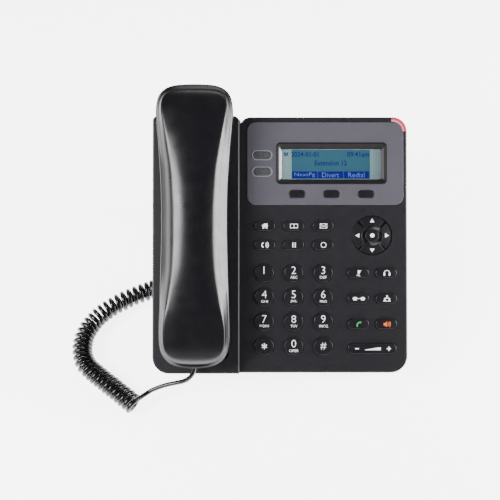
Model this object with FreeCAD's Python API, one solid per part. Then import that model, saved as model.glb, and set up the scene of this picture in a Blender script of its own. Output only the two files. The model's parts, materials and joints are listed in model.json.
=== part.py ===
import FreeCAD, Part
import math
import os

os.makedirs("parts", exist_ok=True)

# Desk IP telephone. Millimetres, +Z up, +X to the user's right, +Y away from
# the user. The sloped face is laid out flat first (x across, y up the face,
# z out of the face) and then tilted about X onto the desk.

# ---- driving dimensions -------------------------------------------------
FACE_TILT = 30.0          # slope of the face, degrees
BASE_W = 209.0            # width of the base
BASE_L = 210.5            # length up the slope
CRADLE_W = 71.0           # width of the raised cradle strip at the left
SLAB_T = 26.0             # housing thickness, square to the face
SPLIT_Z = -20.0           # joint between front housing and rear cover
WALL = 2.4                # housing wall
CRADLE_H = 5.0            # cradle strip above the key field
FRONT_Z = 24.0            # height of the face's front edge over the desk
Y_SHIFT = -94.968         # puts the footprint's centre on the origin
KEY_GAP = 0.30            # gap round each key
KEY_TRAVEL = 1.0          # key stroke
KEY_STEM = 3.0            # key skirt under the face skin starts here
HANDSET_X = -68.9         # handset's centre line
HANDSET_LIFT = 60.0       # how far the handset is lifted off
HOOK_TRAVEL = 4.0         # hook plunger stroke
WIRE_D = 3.8              # handset cord, plain lead
COIL_D = 17.5             # handset cord, outside of the curls

V = FreeCAD.Vector
PLACE = FreeCAD.Placement(V(0, Y_SHIFT, FRONT_Z), FreeCAD.Rotation(V(1, 0, 0), FACE_TILT))
CT = math.cos(math.radians(FACE_TILT))
ST = math.sin(math.radians(FACE_TILT))


def world(x, y, z):
    """A point of the flat face layout, as it stands on the desk."""
    return V(x, Y_SHIFT + y * CT - z * ST, FRONT_Z + y * ST + z * CT)


def rr(x0, y0, x1, y1, bl, br, tr, tl, z=0.0):
    """Closed outline of a rectangle with its own radius at each corner."""
    e = []
    k = math.sqrt(0.5)

    def line(a, b):
        if (a - b).Length > 1e-6:
            e.append(Part.LineSegment(a, b).toShape())

    def arc(cx, cy, r, a0):
        if r > 0:
            m = a0 + 45
            p = [V(cx + r * math.cos(math.radians(t)), cy + r * math.sin(math.radians(t)), z) for t in (a0, m, a0 + 90)]
            e.append(Part.Arc(*p).toShape())
    line(V(x0 + bl, y0, z), V(x1 - br, y0, z))
    arc(x1 - br, y0 + br, br, 270)
    line(V(x1, y0 + br, z), V(x1, y1 - tr, z))
    arc(x1 - tr, y1 - tr, tr, 0)
    line(V(x1 - tr, y1, z), V(x0 + tl, y1, z))
    arc(x0 + tl, y1 - tl, tl, 90)
    line(V(x0, y1 - tl, z), V(x0, y0 + bl, z))
    arc(x0 + bl, y0 + bl, bl, 180)
    return Part.Wire(e)


def prism(wire, z0, z1):
    f = Part.Face(wire)
    f.translate(V(0, 0, z0))
    return f.extrude(V(0, 0, z1 - z0))


def block(x0, x1, y0, y1, z0, z1):
    return Part.makeBox(x1 - x0, y1 - y0, z1 - z0, V(x0, y0, z0))


def rblock(x0, x1, y0, y1, z0, z1, r):
    return prism(rr(x0, y0, x1, y1, r, r, r, r), z0, z1)


def rod(x, y, z0, z1, r):
    return Part.makeCylinder(r, z1 - z0, V(x, y, z0))


def pill(cx, cy, w, h, z0, z1, grow=0.0):
    w, h = w + 2 * grow, h + 2 * grow
    r = h / 2 - 0.001
    return rblock(cx - w / 2, cx + w / 2, cy - h / 2, cy + h / 2, z0, z1, r)


def oval(cx, cy, w, h, z0, z1, grow=0.0):
    a, b = w / 2 + grow, h / 2 + grow
    if a >= b:
        el = Part.Ellipse(V(cx, cy, 0), a, b)
    else:
        el = Part.Ellipse(V(cx, cy + b, 0), V(cx - a, cy, 0), V(cx, cy, 0))
    return prism(Part.Wire([el.toShape()]), z0, z1)


def extrude_side(points, x0, x1):
    """A side profile of (y, z) points, extruded across from x0 to x1."""
    p = [V(x0, a, b) for a, b in points]
    return Part.Face(Part.makePolygon(p + [p[0]])).extrude(V(x1 - x0, 0, 0))


def try_fillet(shape, radius, pick):
    """Round the picked edges; leave them sharp if the radius does not fit."""
    edges = [e for e in shape.Edges if pick(e)]
    for r in (radius, radius * 0.7, radius * 0.4):
        try:
            s = shape.makeFillet(r, edges)
            if s.isValid() and s.Volume > 0:
                return s
        except Exception:
            pass
    print("  fillet left out", radius, len(edges))
    return shape


def at_z(z, tol=1e-3):
    return lambda e: abs(e.BoundBox.ZMin - z) < tol and abs(e.BoundBox.ZMax - z) < tol


def one(shape):
    s = shape.removeSplitter()
    if len(s.Solids) == 1:
        return s.Solids[0]
    return s


OUT = []


def save(name, shape, tilted=True, count=1):
    """Tilt a flat-layout piece onto the desk and write it."""
    s = shape.copy()
    if tilted:
        s.Placement = PLACE.multiply(s.Placement)
    n = len(s.Solids)
    ok = s.isValid()
    s.exportStep("parts/%s.step" % name)
    bb = s.BoundBox
    OUT.append((name, s))
    print("%-22s %s solids=%d vol=%9.1f  x %.1f..%.1f y %.1f..%.1f z %.1f..%.1f" % (
        name, "ok " if ok and n == count else "BAD", n, s.Volume, bb.XMin, bb.XMax, bb.YMin, bb.YMax, bb.ZMin, bb.ZMax))


# ---- outline of the base in the flat layout ------------------------------
XL, XR = -BASE_W / 2, BASE_W / 2
XC = XL + CRADLE_W        # right edge of the cradle strip


def base_outline(z0, z1, inset=0.0, top=0.0):
    """Both halves of the base joined: the cradle strip and the key field."""
    i = inset
    a = prism(rr(XL + i, i, XC + 1.0, BASE_L - i, 13.5 - i, 0, 5.0 - min(i, 4), 4.0 - min(i, 3)), z0, z1)
    b = prism(rr(XC, i, XR - i, BASE_L - i, 0, 14.0 - i, 12.0 - i, 9.0 - i if i < 8 else 1), z0, z1)
    if i > 0:
        a = prism(rr(XL + i, i, XC + 1.0, BASE_L - i - 1.5, 13.5 - i, 0, 0, 4.0 - min(i, 3)), z0, z1)
        b = prism(rr(XC, i, XR - i, BASE_L - i, 0, 14.0 - i, 12.0 - i, 12.0), z0, z1)
    return a.fuse(b).removeSplitter()


# ---- key table ------------------------------------------------------------
KEYS = []                 # name, kind, x, y, w, h
for n, x, y in (("1", 0, 0), ("2", 1, 0), ("3", 2, 0), ("4", 0, 1), ("5", 1, 1), ("6", 2, 1),
                ("7", 0, 2), ("8", 1, 2), ("9", 2, 2), ("star", 0, 3), ("0", 1, 3), ("hash", 2, 3)):
    KEYS.append(("key_dial_" + n, "oval", (-13.2, 10.9, 35.1)[x], (81.9, 62.2, 42.0, 21.9)[y], 15.4, 14.4))
for n, x, y in (("home", 0, 0), ("book", 1, 0), ("mail", 2, 0), ("transfer", 0, 1), ("hold", 1, 1), ("record", 2, 1)):
    KEYS.append(("key_" + n, "pill", (-12.9, 10.9, 35.1)[x], (120.5, 104.9)[y], 17.0, 7.8))
for n, x, y in (("mute", 0, 0), ("headset", 1, 0), ("intercom", 0, 1), ("conference", 1, 1), ("send", 0, 2), ("speaker", 1, 2)):
    KEYS.append(("key_" + n, "pill", (63.9, 86.9)[x], (81.9, 60.9, 40.0)[y], 17.4, 7.8))
for n, x in (("1", 13.8), ("2", 42.1), ("3", 70.5)):
    KEYS.append(("key_soft_" + n, "pill", x, 146.8, 13.4, 6.2))
for n, y in (("1", 178.9), ("2", 165.3)):
    KEYS.append(("key_line_" + n, "pill", -15.0, y, 14.0, 5.6))
NAV = (75.4, 112.7)
NAV_R, NAV_RI, NAV_GAP, NAV_C = 16.2, 8.4, 1.9, 5.5
ROCKER = (75.2, 19.8, 39.9, 8.2)

PANEL = (-27.3, 137.9, 101.3, 206.0, 7.0)
FRAME = (-2.3, 155.9, 87.0, 188.4, 2.9)
LCD = (1.4, 159.3, 83.2, 184.3)

# ---- handset wells and base interior --------------------------------------
WELL_X0, WELL_X1 = -95.0, -42.4
MOUTH_Y0, MOUTH_Y1 = 11.0, 55.0
EAR_Y0, EAR_Y1 = 164.0, 206.5
WELL_FLOOR = -4.0

POCKET = (-84.0, 62.0, 110.0, 140.0, -10.2)     # x0, x1, y0, y1, roof


def key_cut(k, z0, z1, grow):
    name, kind, x, y, w, h = k
    return (oval if kind == "oval" else pill)(x, y, w, h, z0, z1, grow)


def domed(shape, cx, cy, top, w, h):
    """Crown a cap slightly: keep what lies inside a large ball."""
    r = 60.0
    ball = Part.makeSphere(r, V(cx, cy, top - r))
    return shape.common(ball)


# ---- front housing ---------------------------------------------------------
slab = base_outline(SPLIT_Z, 0.0)
strip = prism(rr(XL, 0, XC, BASE_L, 13.5, 0.01, 5.0, 4.0), -6.0, CRADLE_H)
strip = try_fillet(strip, 1.4, at_z(CRADLE_H))
slab = try_fillet(slab, 1.6, lambda e: at_z(0.0)(e) and e.BoundBox.XMax > XC + 0.5)
outer = slab.fuse(strip)
hollow = base_outline(SPLIT_Z - 1, -WALL, WALL)
hollow = hollow.fuse(prism(rr(XL + WALL, WALL, XC - WALL, BASE_L - 5.5, 11.0, 0.01, 2.0, 2.0), -10, CRADLE_H - WALL))
shell = outer.cut(hollow)
tubs = None
for y0, y1 in ((MOUTH_Y0, MOUTH_Y1), (EAR_Y0, EAR_Y1)):
    t = rblock(WELL_X0 - 2, WELL_X1 + 2, y0 - 2, min(y1 + 2, BASE_L - 1.5), WELL_FLOOR - 2, CRADLE_H - 1.0, 8.0)
    shell = shell.fuse(t)
for y0, y1 in ((MOUTH_Y0, MOUTH_Y1), (EAR_Y0, EAR_Y1)):
    shell = shell.cut(rblock(WELL_X0, WELL_X1, y0, y1, WELL_FLOOR, CRADLE_H + 1, 6.0))
# display seat: a shallow seat for the panel, then the opening behind it
px0, py0, px1, py1, pr = PANEL
shell = shell.cut(rblock(px0 - 0.15, px1 + 0.15, py0 - 0.15, py1 + 0.15, -1.4, 1.0, pr))
shell = shell.cut(rblock(FRAME[0] - 1.5, FRAME[2] + 1.5, FRAME[1] - 1.5, FRAME[3] + 1.5, -5.0, 0.0, 3.0))
# key holes
for k in KEYS:
    shell = shell.cut(key_cut(k, -5.0, 1.0, KEY_GAP))
shell = shell.cut(rod(NAV[0], NAV[1], -5.0, 1.0, NAV_R + KEY_GAP))
shell = shell.cut(pill(ROCKER[0], ROCKER[1], ROCKER[2], ROCKER[3], -5.0, 1.0, KEY_GAP + 0.05))
# hook plunger hole in the ear well, speaker slots in the cradle floor
HOOK = (HANDSET_X, 173.0)
shell = shell.cut(rblock(HOOK[0] - 5.3, HOOK[0] + 5.3, HOOK[1] - 3.3, HOOK[1] + 3.3, WELL_FLOOR - 3, WELL_FLOOR + 1, 1.0))
for i in range(7):
    y = 88.0 + i * 6.0
    shell = shell.cut(rblock(HANDSET_X - 15 + abs(i - 3) * 1.6, HANDSET_X + 15 - abs(i - 3) * 1.6, y - 1, y + 1, 0, CRADLE_H + 1, 0.99))
# microphone hole for hands-free talk, near the front edge
shell = shell.cut(rod(24.0, 7.0, -4, 1, 0.6))
# lamp seat at the top right corner
LAMP_CX, LAMP_CY = XR - 12.0, BASE_L - 12.0


def corner_band(r_out, r_in, z0, z1, len_x, len_y):
    """The L-shaped band that follows the top right corner."""
    full = prism(rr(LAMP_CX - len_x, LAMP_CY - len_y, LAMP_CX + r_out, LAMP_CY + r_out, 0, 0, r_out, 0), z0, z1)
    inner = prism(rr(LAMP_CX - len_x - 1, LAMP_CY - len_y - 1, LAMP_CX + r_in, LAMP_CY + r_in, 0, 0, r_in, 0), z0 - 1, z1 + 1)
    return full.cut(inner)


shell = shell.cut(corner_band(13.0, 7.9, -9.0, 2.0, 1.2, 0.3))
# bosses for the housing screws, hanging inside
BOSSES = [(-98.0, 100.0), (-38.0, 60.0), (-38.0, 172.0), (98.0, 8.5 + 5), (98.0, 130.0), (-97.5, 150.0)]
for bx, by in BOSSES:
    roof = CRADLE_H - 0.6 if bx < XC else -0.4
    shell = shell.fuse(rod(bx, by, SPLIT_Z + 3.0, roof, 3.2)).cut(rod(bx, by, SPLIT_Z - 1, -6.0, 1.2))
shell = one(shell)
save("front_housing", shell)

# ---- display panel (grey fascia), lens, LCD --------------------------------
panel = rblock(px0, px1, py0, py1, -1.4, 0.25, pr)
panel = try_fillet(panel, 0.35, at_z(0.25))
loft_a = rr(FRAME[0], FRAME[1], FRAME[2], FRAME[3], 2.9, 2.9, 2.9, 2.9, 0.3)
loft_b = rr(LCD[0], LCD[1], LCD[2], LCD[3], 0.8, 0.8, 0.8, 0.8, -3.4)
rim = rblock(FRAME[0] - 1.3, FRAME[2] + 1.3, FRAME[1] - 1.3, FRAME[3] + 1.3, -3.4, -1.4, 3.0)
panel = panel.fuse(rim).cut(Part.makeLoft([loft_a, loft_b], True, True))
for k in KEYS:
    if k[0].startswith(("key_soft", "key_line")):
        panel = panel.cut(key_cut(k, -5.0, 1.0, KEY_GAP))
# the corner lamp passes beside the panel's top right corner
panel = panel.cut(corner_band(13.0, 7.9, -9.0, 2.0, 1.2, 0.3))
save("display_panel", one(panel))
lens = rblock(LCD[0] - 3.2, LCD[2] + 3.2, LCD[1] - 3.2, LCD[3] + 3.2, -4.9, -3.4, 1.0)
save("display_lens", lens)
lcd = block(LCD[0] - 4.0, LCD[2] + 4.0, LCD[1] - 3.0, LCD[3] + 3.0, -6.4, -4.9)
save("lcd_module", lcd)

lamp = corner_band(12.0, 8.1, -8.8, 0.0, 1.0, 0.1)
lamp = try_fillet(lamp, 1.2, lambda e: at_z(0.0)(e) and e.BoundBox.XMax > LAMP_CX + 11.9)
save("message_lamp_lens", one(lamp))

# ---- keys -------------------------------------------------------------------
SKIRT_TOP = -KEY_STEM
PROUD = {"key_dial": 1.5, "key_soft": 0.7, "key_line": 0.8}


def key_solid(k):
    name, kind, x, y, w, h = k
    proud = PROUD.get(name[:8], 1.3)
    cap = key_cut(k, SKIRT_TOP, proud, 0.0)
    cap = domed(cap, x, y, proud, w, h)
    tops = [e for e in cap.Edges if e.BoundBox.ZMin > 0.2]
    for r in (0.5, 0.3, 0.15):
        try:
            c2 = cap.makeFillet(r, tops)
            if c2.isValid() and c2.Volume > 0:
                cap = c2
                break
        except Exception:
            pass
    skirt = key_cut(k, SKIRT_TOP - 0.9, SKIRT_TOP + 0.0, 0.75)
    return one(cap.fuse(skirt))


for k in KEYS:
    save(k[0], key_solid(k))

# navigation ring: four quarter keys and a round centre key
ring = rod(NAV[0], NAV[1], SKIRT_TOP - 0.9, 1.4, NAV_R).cut(rod(NAV[0], NAV[1], -9, 9, NAV_RI))
for i, nm in enumerate(("right", "up", "left", "down")):
    a = math.radians(90 * i)
    c, s = math.cos(a), math.sin(a)
    d = NAV_GAP / math.sqrt(2.0)
    tri = [V(d, 0, 0), V(40, 40 - d, 0), V(40, -40 + d, 0)]
    tri = [V(NAV[0] + p.x * c - p.y * s, NAV[1] + p.x * s + p.y * c, -9) for p in tri]
    wedge = Part.Face(Part.makePolygon(tri + [tri[0]])).extrude(V(0, 0, 18))
    q = ring.common(wedge)
    q = q.common(Part.makeSphere(70.0, V(NAV[0], NAV[1], 1.4 - 70.0)).fuse(rod(NAV[0], NAV[1], -9, -1, 30)))
    q = try_fillet(q, 0.4, lambda e: e.BoundBox.ZMin > -0.9 and e.BoundBox.ZMax < 1.45 and e.BoundBox.ZMin > -0.6)
    save("key_nav_" + nm, one(q))
ok = rod(NAV[0], NAV[1], SKIRT_TOP - 0.9, 1.3, NAV_C)
ok = domed(ok, NAV[0], NAV[1], 1.3, 11, 11)
ok = try_fillet(ok, 0.5, lambda e: e.BoundBox.ZMin > 0.2)
save("key_nav_centre", one(ok))
# volume rocker, pivoting on its middle
rk = pill(ROCKER[0], ROCKER[1], ROCKER[2], ROCKER[3], SKIRT_TOP, 1.3)
rk = rk.common(Part.makeSphere(220.0, V(ROCKER[0], ROCKER[1], 1.3 - 220.0)))
rk = try_fillet(rk, 0.5, lambda e: e.BoundBox.ZMin > 0.2)
rk = rk.fuse(block(ROCKER[0] - 1.2, ROCKER[0] + 1.2, ROCKER[1] - 3.4, ROCKER[1] + 3.4, SKIRT_TOP - 0.9, SKIRT_TOP))
# round pin that it tips on
rk = rk.fuse(Part.makeCylinder(0.9, 6.8, V(ROCKER[0], ROCKER[1] - 3.4, SKIRT_TOP - 0.9), V(0, 1, 0)))
save("key_volume", one(rk))

# ---- silicone mat and main board -------------------------------------------
MAT_T = -6.3
mat = rblock(-24.0, 96.0, 12.0, 152.0, MAT_T - 0.1, MAT_T + 0.5, 2.0)
mat = mat.fuse(rblock(-24.0, -5.5, 150.0, 186.0, MAT_T - 0.1, MAT_T + 0.5, 2.0))
for k in KEYS:
    mat = mat.fuse(Part.makeCone(3.0, 2.0, 0.7, V(k[2], k[3], MAT_T + 0.5)))
for a in range(4):
    t = math.radians(90 * a)
    mat = mat.fuse(Part.makeCone(2.0, 1.4, 0.7, V(NAV[0] + 12.3 * math.cos(t), NAV[1] + 12.3 * math.sin(t), MAT_T + 0.5)))
mat = mat.fuse(Part.makeCone(2.4, 1.8, 0.7, V(NAV[0], NAV[1], MAT_T + 0.5)))
for s in (-1, 1):
    mat = mat.fuse(Part.makeCone(2.4, 1.8, 0.5, V(ROCKER[0] + s * 13.0, ROCKER[1], MAT_T + 0.5)))
save("keypad_mat", one(mat))
BOARD_TOP, BOARD_BOT = MAT_T - 0.1, MAT_T - 1.7
pcb = rblock(-28.0, 94.0, 10.0, 190.0, BOARD_BOT, BOARD_TOP, 2.0)
pcb = pcb.fuse(rblock(-80.0, -27.0, 128.0, 162.0, BOARD_BOT, BOARD_TOP, 2.0))
chips = block(20, 38, 60, 78, BOARD_BOT - 1.4, BOARD_BOT)
chips = chips.fuse(block(44, 54, 62, 76, BOARD_BOT - 1.2, BOARD_BOT)).fuse(block(-10, 2, 92, 98, BOARD_BOT - 1.6, BOARD_BOT))
chips = chips.fuse(rod(70, 86, BOARD_BOT - 8, BOARD_BOT, 4.0)).fuse(rod(80, 92, BOARD_BOT - 8, BOARD_BOT, 3.0))
pcb = pcb.fuse(chips)
# power inlet soldered under the board, its barrel hole facing down the slope
PWR_X = 46.0
inlet = block(PWR_X - 4.5, PWR_X + 4.5, 142.0, 156.0, BOARD_BOT - 11.0, BOARD_BOT)
hole = Part.makeCylinder(2.9, 11.0, V(PWR_X, 141.0, BOARD_BOT - 6.2), V(0, 1, 0))
pin = Part.makeCylinder(1.0, 8.5, V(PWR_X, 144.5, BOARD_BOT - 6.2), V(0, 1, 0))
pcb = pcb.fuse(inlet).cut(hole).fuse(pin)
# hook switch body on the board's left arm, beside the plunger
pcb = pcb.fuse(block(HANDSET_X - 6, HANDSET_X + 6, 155.6, 161.8, BOARD_BOT - 4.0, BOARD_BOT))
for bx, by in BOSSES:
    pcb = pcb.cut(rod(bx, by, BOARD_BOT - 0.1, BOARD_TOP + 0.1, 3.7))
save("main_board", one(pcb))

# ---- network jacks (two) and handset / headset jacks (two) -------------------


def modular(cx, w, h, depth, aw, ah, floor):
    """A modular socket, open towards the foot of the slope."""
    top = BOARD_BOT
    b = block(cx - w / 2, cx + w / 2, 142.0, 142.0 + depth, top - h, top)
    zc = top - h / 2 - 0.3
    a = block(cx - aw / 2, cx + aw / 2, 141.0, 142.0 + depth - floor, zc - ah / 2, zc + ah / 2)
    t = block(cx - aw / 6, cx + aw / 6, 141.0, 142.0 + depth - floor, zc - ah / 2 - 1.6, zc - ah / 2 + 0.1)
    return b.cut(a).cut(t), zc


RJ45_X = (-8.0, 14.0)
RJ9_X = (-62.0, -40.0)
rj = [modular(x, 16.0, 13.6, 15.5, 11.9, 8.0, 2.5) for x in RJ45_X]
RJ45_ZC = rj[0][1]
save("network_jacks", rj[0][0].fuse(rj[1][0]), count=2)
r9 = [modular(x, 11.5, 12.0, 13.0, 7.9, 6.6, 2.5) for x in RJ9_X]
RJ9_ZC = r9[0][1]
save("modular_jacks", r9[0][0].fuse(r9[1][0]), count=2)

# ---- rear cover ----------------------------------------------------------------
rear = base_outline(-SLAB_T, SPLIT_Z)
rear = try_fillet(rear, 2.0, at_z(-SLAB_T))
rear = rear.cut(base_outline(-SLAB_T + WALL, SPLIT_Z + 1, WALL))
x0, x1, y0, y1, zr = POCKET
rear = rear.fuse(rblock(x0 - 2, x1 + 2, y0 - 2, y1 + 2, -SLAB_T + 0.5, zr + 1.5, 2.0))
rear = rear.cut(rblock(x0, x1, y0, y1, -SLAB_T - 1, zr, 1.0))
for x in RJ45_X:
    rear = rear.cut(block(x - 6.3, x + 6.3, y1 - 0.5, y1 + 2.5, RJ45_ZC - 6.0, RJ45_ZC + 4.3))
for x in RJ9_X:
    rear = rear.cut(block(x - 4.3, x + 4.3, y1 - 0.5, y1 + 2.5, RJ9_ZC - 5.2, RJ9_ZC + 3.6))
rear = rear.cut(Part.makeCylinder(4.4, 3.0, V(PWR_X, y1 - 0.5, BOARD_BOT - 6.2), V(0, 1, 0)))
# ventilation slots
for i in range(9):
    x = -14.0 + i * 9.0
    rear = rear.cut(rblock(x - 1.1, x + 1.1, 66.0, 92.0, -SLAB_T - 1, -SLAB_T + WALL + 1, 1.05))
# screw posts: through holes with a recess for each head
for bx, by in BOSSES:
    rear = rear.fuse(rod(bx, by, -SLAB_T + 0.5, SPLIT_Z + 2.9, 3.6))
    rear = rear.cut(rod(bx, by, -SLAB_T - 1, SPLIT_Z + 4, 1.6)).cut(rod(bx, by, -SLAB_T - 1, -SLAB_T + 3.0, 3.0))
# slots that the stand hooks into
STAND_HOOKS = [(-64.0, 175.0), (64.0, 175.0), (-64.0, 150.0), (64.0, 150.0)]
for hx, hy in STAND_HOOKS:
    rear = rear.cut(block(hx - 4.2, hx + 4.2, hy - 2.2, hy + 2.2, -SLAB_T - 1, -SLAB_T + WALL + 1))
rear = one(rear)
save("rear_cover", rear)

screws = None
for bx, by in BOSSES:
    s = rod(bx, by, -SLAB_T + 3.0, -SLAB_T + 3.0 + 14.0, 1.15)
    h = rod(bx, by, -SLAB_T + 1.2, -SLAB_T + 3.0, 2.7)
    c = block(bx - 1.6, bx + 1.6, by - 0.35, by + 0.35, -SLAB_T + 1.0, -SLAB_T + 2.1)
    c2 = block(bx - 0.35, bx + 0.35, by - 1.6, by + 1.6, -SLAB_T + 1.0, -SLAB_T + 2.1)
    s = s.fuse(h).cut(c).cut(c2)
    screws = s if screws is None else screws.fuse(s)
save("housing_screws", screws, count=len(BOSSES))

# ---- loudspeaker under the cradle grille ------------------------------------------
sp = rod(HANDSET_X, 106.0, -0.4, 1.6, 23.0).fuse(Part.makeCone(21.0, 12.0, 6.6, V(HANDSET_X, 106.0, -0.4), V(0, 0, -1))).fuse(rod(HANDSET_X, 106.0, -8.3, -6.9, 12.0))
sp = sp.cut(Part.makeCone(20.0, 9.0, 5.5, V(HANDSET_X, 106.0, 1.61), V(0, 0, -1)))
save("loudspeaker", one(sp))

# ---- hook plunger ----------------------------------------------------------------
HOOK_TOP = -2.5
hk = rblock(HOOK[0] - 5.0, HOOK[0] + 5.0, HOOK[1] - 3.0, HOOK[1] + 3.0, WELL_FLOOR - 6.6, HOOK_TOP, 0.9)
hk = try_fillet(hk, 0.6, at_z(HOOK_TOP))
hk = hk.fuse(rblock(HOOK[0] - 6.4, HOOK[0] + 6.4, HOOK[1] - 3.0, HOOK[1] + 3.0, WELL_FLOOR - 7.6, WELL_FLOOR - 6.5, 0.9))
save("hook_plunger", one(hk))

# ---- stand -----------------------------------------------------------------------
# Side profile on the desk, before the footprint shift.


def under(y):
    """Height of the housing's underside over the desk at depth y."""
    return FRONT_Z - SLAB_T * CT + (y - SLAB_T * ST) * ST / CT


leg = [(121.0, under(121.0)), (183.0, under(183.0)), (187.0, 1.6), (166.0, 1.6)]
legs = extrude_side(leg, -74.0, -70.8).fuse(extrude_side(leg, 70.8, 74.0))
foot = Part.makeBox(148.0, 21.0, 3.2, V(-74.0, 166.0, 1.6))
k = 3.0 / CT
top = [(121.0, under(121.0)), (183.0, under(183.0)), (183.0, under(183.0) - k), (121.0, under(121.0) - k)]
plate = extrude_side(top, -74.0, 74.0)
plate_hole = extrude_side([(128.0, under(128.0) + 1), (164.0, under(164.0) + 1), (164.0, under(164.0) - k - 1), (128.0, under(128.0) - k - 1)], -56.0, 56.0)
# rear wall leans from the plate's far edge down to the foot
t = 2.6
rw = [(183.0, under(183.0)), (187.0, 1.6), (187.0 - t, 1.6), (183.0 - t, under(183.0 - t))]
rear_wall = extrude_side(rw, -74.0, 74.0)
win = Part.makeBox(96.0, 30.0, 34.0, V(-48.0, 170.0, 26.0))
stand = legs.fuse(foot).fuse(plate.cut(plate_hole)).fuse(rear_wall.cut(win))
stand.translate(V(0, Y_SHIFT, 0))
for hx, hy in STAND_HOOKS:
    hkp = block(hx - 3.9, hx + 3.9, hy - 1.9, hy - 0.2, -SLAB_T - 1.0, -SLAB_T + WALL)
    hkp.Placement = PLACE
    stand = stand.fuse(hkp)
save("stand", one(stand), tilted=False)

# ---- feet ------------------------------------------------------------------------
ff = [(15.5, 0.0), (27.0, 0.0), (27.0, under(27.0)), (15.5, under(15.5))]
feet = None
for xa in (-88.0, 58.0):
    f = extrude_side(ff, xa, xa + 30.0)
    feet = f if feet is None else feet.fuse(f)
for xa in (-70.0, 50.0):
    feet = feet.fuse(Part.makeBox(20.0, 12.0, 1.6, V(xa, 171.0, 0.0)))
feet.translate(V(0, Y_SHIFT, 0))
save("rubber_feet", feet, tilted=False, count=4)

# ---- handset -----------------------------------------------------------------------
# Plan outline: y, half width. Side profile: y, z along the top and the bottom.
PLAN = [(7.4, 6.0), (8.6, 14.0), (12.4, 21.5), (20.0, 26.5), (32.0, 28.0), (60.0, 27.4), (90.0, 26.6), (120.0, 26.1),
        (150.0, 26.5), (180.0, 28.3), (200.0, 30.0), (215.2, 30.3), (224.3, 27.3), (229.5, 20.6), (231.5, 10.2)]
TOP = [(6.5, 21.0), (12.0, 25.6), (24.0, 29.6), (50.0, 33.2), (85.0, 35.4), (120.0, 36.0), (155.0, 35.4), (190.0, 33.6),
       (211.0, 31.2), (224.0, 27.9), (232.8, 23.0)]
BOTTOM = [(232.8, 20.0), (223.3, 12.0), (208.0, 7.2), (165.0, 7.2), (159.0, 13.0), (151.0, 17.0), (118.0, 18.6),
          (72.0, 17.0), (62.0, 13.0), (56.0, 7.2), (12.6, 7.2), (10.6, 12.0), (6.5, 18.0)]
POD_HALF = 25.0
PODS = [(13.4, 52.4), (166.6, 204.4)]
POD_Z = -2.2
PART_LINE = 22.0          # the two halves of the handset meet at this height


def closed_plan(off):
    """Handset outline seen from above, pulled in by off."""
    y0, y1 = PLAN[0][0], PLAN[-1][0]
    ym = (y0 + y1) / 2
    k = (y1 - y0 - 2 * off) / (y1 - y0)
    right = [V(HANDSET_X + hw * (1 - off / 29.4), ym + (y - ym) * k, 0) for y, hw in PLAN]
    left = [V(2 * HANDSET_X - p.x, p.y, 0) for p in reversed(right)]
    bs = Part.BSplineCurve()
    bs.interpolate(Points=right + left, PeriodicFlag=True)
    return Part.Wire([bs.toShape()])


def side_solid(off):
    t = [V(-140, y, z - off) for y, z in TOP]
    bs = Part.BSplineCurve()
    bs.interpolate(Points=t)
    b = [V(-140, y, z + off) for y, z in BOTTOM]
    e = [bs.toShape(), Part.LineSegment(t[-1], b[0]).toShape()]
    e += [Part.LineSegment(b[i], b[i + 1]).toShape() for i in range(len(b) - 1)]
    e.append(Part.LineSegment(b[-1], t[0]).toShape())
    return Part.Face(Part.Wire(e)).extrude(V(140, 0, 0))


def handset_solid(off, rounded):
    body = prism(closed_plan(off), -5, 45).common(side_solid(off))
    if rounded:
        body = try_fillet(body, 5.0, lambda e: e.BoundBox.ZMin > 20.5 and e.BoundBox.YLength > 50)
    return body


def pods(off):
    p = [rblock(HANDSET_X - POD_HALF + off, HANDSET_X + POD_HALF - off, y0 + off, y1 - off, POD_Z + off, 12.0, 6.5 - off) for y0, y1 in PODS]
    return p[0].fuse(p[1])


BIG = block(-140, 0, -20, 260, PART_LINE, 80)
LOW = block(-140, 0, -20, 260, -20, PART_LINE)
inner_hs = handset_solid(2.2, False)
back = handset_solid(0.0, True).common(BIG).cut(inner_hs)
face = handset_solid(0.0, False).common(LOW).fuse(pods(0.0))
face = face.cut(inner_hs.common(LOW)).cut(pods(2.2))
print("handset", back.isValid(), round(back.Volume), face.isValid(), round(face.Volume))
# sound holes: three rings under the ear, a slot row under the mouth
EAR_C = (HANDSET_X, 187.0)
MIC_C = (HANDSET_X, 32.0)
for n, r in ((1, 0.0), (6, 4.0), (10, 8.0)):
    for i in range(n):
        a = 2 * math.pi * i / n
        face = face.cut(rod(EAR_C[0] + r * math.cos(a), EAR_C[1] + r * math.sin(a), -6, 1.5, 0.9))
for i in range(3):
    face = face.cut(rblock(MIC_C[0] - 3.5 + i * 2.6, MIC_C[0] - 2.2 + i * 2.6, MIC_C[1] - 3, MIC_C[1] + 3, -6, 1.5, 0.6))
# opening for the handset's own socket at the lower end
HJ_X, HJ_Z = HANDSET_X, 12.4
face = face.cut(block(HJ_X - 6.0, HJ_X + 6.0, 0.0, 28.0, HJ_Z - 5.0, HJ_Z + 5.0))
save("handset_back_shell", one(back))
save("handset_face_shell", one(face))
save("earpiece_capsule", one(rod(EAR_C[0], EAR_C[1], 0.4, 5.0, 13.0).fuse(rod(EAR_C[0], EAR_C[1], 5.0, 8.0, 9.0))))
save("handset_microphone", one(rod(MIC_C[0], MIC_C[1], 0.8, 4.8, 4.85)))
hj = block(HJ_X - 5.9, HJ_X + 5.9, 12.8, 27.0, HJ_Z - 4.9, HJ_Z + 4.9).cut(block(HJ_X - 3.95, HJ_X + 3.95, 8.0, 24.5, HJ_Z - 3.3, HJ_Z + 3.3))
hj = hj.cut(block(HJ_X - 1.35, HJ_X + 1.35, 8.0, 24.5, HJ_Z - 4.4, HJ_Z - 3.2))
save("handset_jack", one(hj))


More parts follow.
